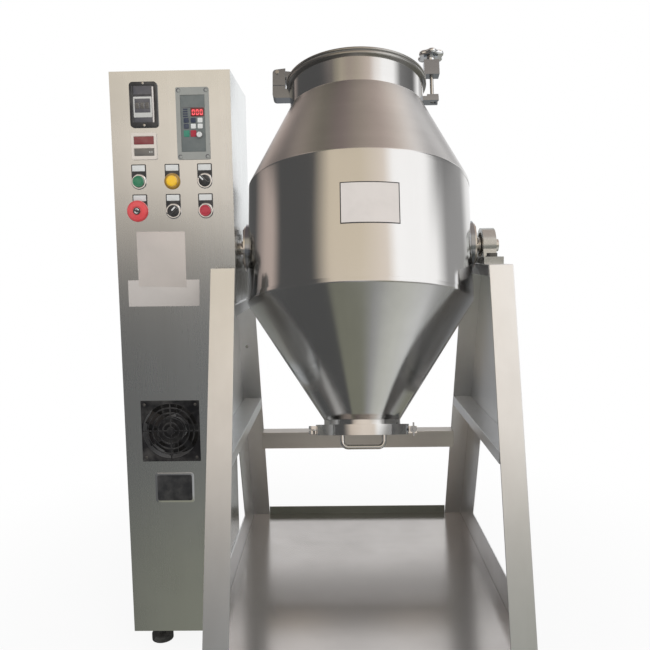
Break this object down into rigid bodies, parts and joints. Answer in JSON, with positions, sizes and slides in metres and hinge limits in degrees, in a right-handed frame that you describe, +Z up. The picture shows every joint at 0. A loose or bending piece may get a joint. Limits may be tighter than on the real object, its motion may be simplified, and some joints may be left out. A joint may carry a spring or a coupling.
{
  "type": "double cone mixer",
  "caption": "Twin-cone powder mixer: a polished vessel turns on trunnions between leaning side frames, driven from a tall control cabinet.",
  "frame": {"origin": "centre of the floor area under the whole machine", "axes": "+Z up, +X along the trunnions from the cabinet to the free bearing, +Y from the operator's side to the back"},
  "size_m": [0.749, 0.7526, 1.2278],
  "materials": {
    "brushed_sheet": "brushed stainless sheet",
    "polished_vessel": "polished stainless",
    "bright_fittings": "turned stainless",
    "white_seal": "silicone",
    "bearing_paint": "cast",
    "gearbox_casting": "cast, painted silver",
    "motor_paint": "painted",
    "black_rubber": "matte",
    "black_plastic": "moulded",
    "grey_plastic": "moulded",
    "black_wire": "painted",
    "yellow_lens": "clear moulded",
    "green_cap": "moulded",
    "red_cap": "moulded"
  },
  "bodies": {
    "frame": {"right_side_frame": "brushed_sheet", "left_side_frame": "brushed_sheet", "top_plates": "brushed_sheet", "frame_shelves": "brushed_sheet", "rear_crossbar": "brushed_sheet", "base_tray": "brushed_sheet", "levelling_feet": "black_rubber", "bearing_housings": "bearing_paint", "bearing_outer_rings": "bright_fittings", "bearing_bolts": "bright_fittings", "left_bearing_pedestal": "brushed_sheet", "gearbox_housing": "gearbox_casting", "torque_arm": "brushed_sheet", "drive_motor": "motor_paint", "cabinet_shell": "brushed_sheet", "cabinet_back_cover": "brushed_sheet", "cable_gland": "black_plastic", "timer_case": "black_plastic", "meter_case": "black_plastic", "inverter_keypad": "grey_plastic", "button_collars": "bright_fittings", "contact_blocks": "black_plastic", "legend_plates": "black_plastic", "yellow_pilot_lamp": "yellow_lens", "fan_frame": "black_plastic", "fan_guard": "black_wire"},
    "vessel": {"belly_shell": "polished_vessel", "feed_cone": "polished_vessel", "discharge_cone": "polished_vessel", "feed_flange": "polished_vessel", "discharge_ferrule": "polished_vessel", "discharge_gasket": "white_seal", "discharge_cap": "polished_vessel", "hub_pads": "polished_vessel", "left_trunnion_shaft": "bright_fittings", "right_trunnion_shaft": "bright_fittings", "hub_bolts": "bright_fittings", "bearing_inner_rings": "bright_fittings", "bearing_balls": "bright_fittings", "gearbox_output_sleeve": "bright_fittings", "hinge_bracket": "bright_fittings", "hinge_pin": "bright_fittings", "clamp_lug": "bright_fittings", "clamp_ring_rear": "polished_vessel", "clamp_ring_pin": "bright_fittings"},
    "lid": {"lid_cover": "polished_vessel", "lid_gasket": "white_seal", "lid_hinge_arm": "bright_fittings", "lid_clamp_block": "bright_fittings"},
    "clamp_screw": {"clamp_screw": "bright_fittings"},
    "star_knob": {"star_knob": "bright_fittings"},
    "clamp_ring_front": {"clamp_ring_front": "polished_vessel"},
    "wing_bolt": {"wing_bolt": "bright_fittings"},
    "green_button": {"green_button": "green_cap"},
    "red_button": {"red_button": "red_cap"},
    "emergency_stop": {"emergency_stop_head": "red_cap"},
    "upper_selector": {"upper_selector": "black_plastic"},
    "lower_selector": {"lower_selector": "black_plastic"},
    "speed_knob": {"speed_knob": "black_plastic"},
    "fan_rotor": {"fan_rotor": "black_plastic"}
  },
  "joints": [
    {"name": "vessel_turn", "type": "hinge", "parent": "frame", "child": "vessel", "pos_m": [0.0925, -0.02421, 0.81], "axis": [1, 0, 0], "continuous": true},
    {"name": "lid_hinge", "type": "hinge", "parent": "vessel", "child": "lid", "pos_m": [-0.0735, 0.07133, 1.17676], "axis": [0, -0.9677, 0.2521], "range_deg": [0, 95]},
    {"name": "clamp_screw_slide", "type": "slide", "parent": "lid", "child": "clamp_screw", "axis": [0, 0.2521, 0.9677], "range_m": [0, 0.022]},
    {"name": "star_knob_turn", "type": "hinge", "parent": "clamp_screw", "child": "star_knob", "pos_m": [0.2525, 0.07788, 1.20192], "axis": [0, 0.2521, 0.9677], "range_deg": [0, 3960]},
    {"name": "clamp_ring_hinge", "type": "hinge", "parent": "vessel", "child": "clamp_ring_front", "pos_m": [-0.0065, -0.11697, 0.45388], "axis": [0, -0.2521, -0.9677], "range_deg": [0, 100]},
    {"name": "wing_bolt_slide", "type": "slide", "parent": "clamp_ring_front", "child": "wing_bolt", "axis": [0, -0.9677, 0.2521], "range_m": [0, 0.018]},
    {"name": "green_button_press", "type": "slide", "parent": "frame", "child": "green_button", "axis": [0, 1, 0], "range_m": [0, 0.0035], "stiffness_N_per_m": 300},
    {"name": "red_button_press", "type": "slide", "parent": "frame", "child": "red_button", "axis": [0, 1, 0], "range_m": [0, 0.0035], "stiffness_N_per_m": 300},
    {"name": "emergency_stop_press", "type": "slide", "parent": "frame", "child": "emergency_stop", "axis": [0, 1, 0], "range_m": [0, 0.0035], "stiffness_N_per_m": 300},
    {"name": "upper_selector_turn", "type": "hinge", "parent": "frame", "child": "upper_selector", "pos_m": [-0.2005, -0.12321, 0.9387], "axis": [0, 1, 0], "range_deg": [0, 90]},
    {"name": "lower_selector_turn", "type": "hinge", "parent": "frame", "child": "lower_selector", "pos_m": [-0.2621, -0.12321, 0.8828], "axis": [0, 1, 0], "range_deg": [-90, 0]},
    {"name": "speed_knob_turn", "type": "hinge", "parent": "frame", "child": "speed_knob", "pos_m": [-0.2065, -0.12921, 1.023], "axis": [0, 1, 0], "range_deg": [0, 270]},
    {"name": "fan_turn", "type": "hinge", "parent": "frame", "child": "fan_rotor", "pos_m": [-0.2842, -0.09421, 0.4557], "axis": [0, 1, 0], "continuous": true}
  ],
  "couplings": [
    {"joint": "clamp_screw_slide", "follows": "star_knob_turn", "m_per_rad": 0.00031831}
  ]
}
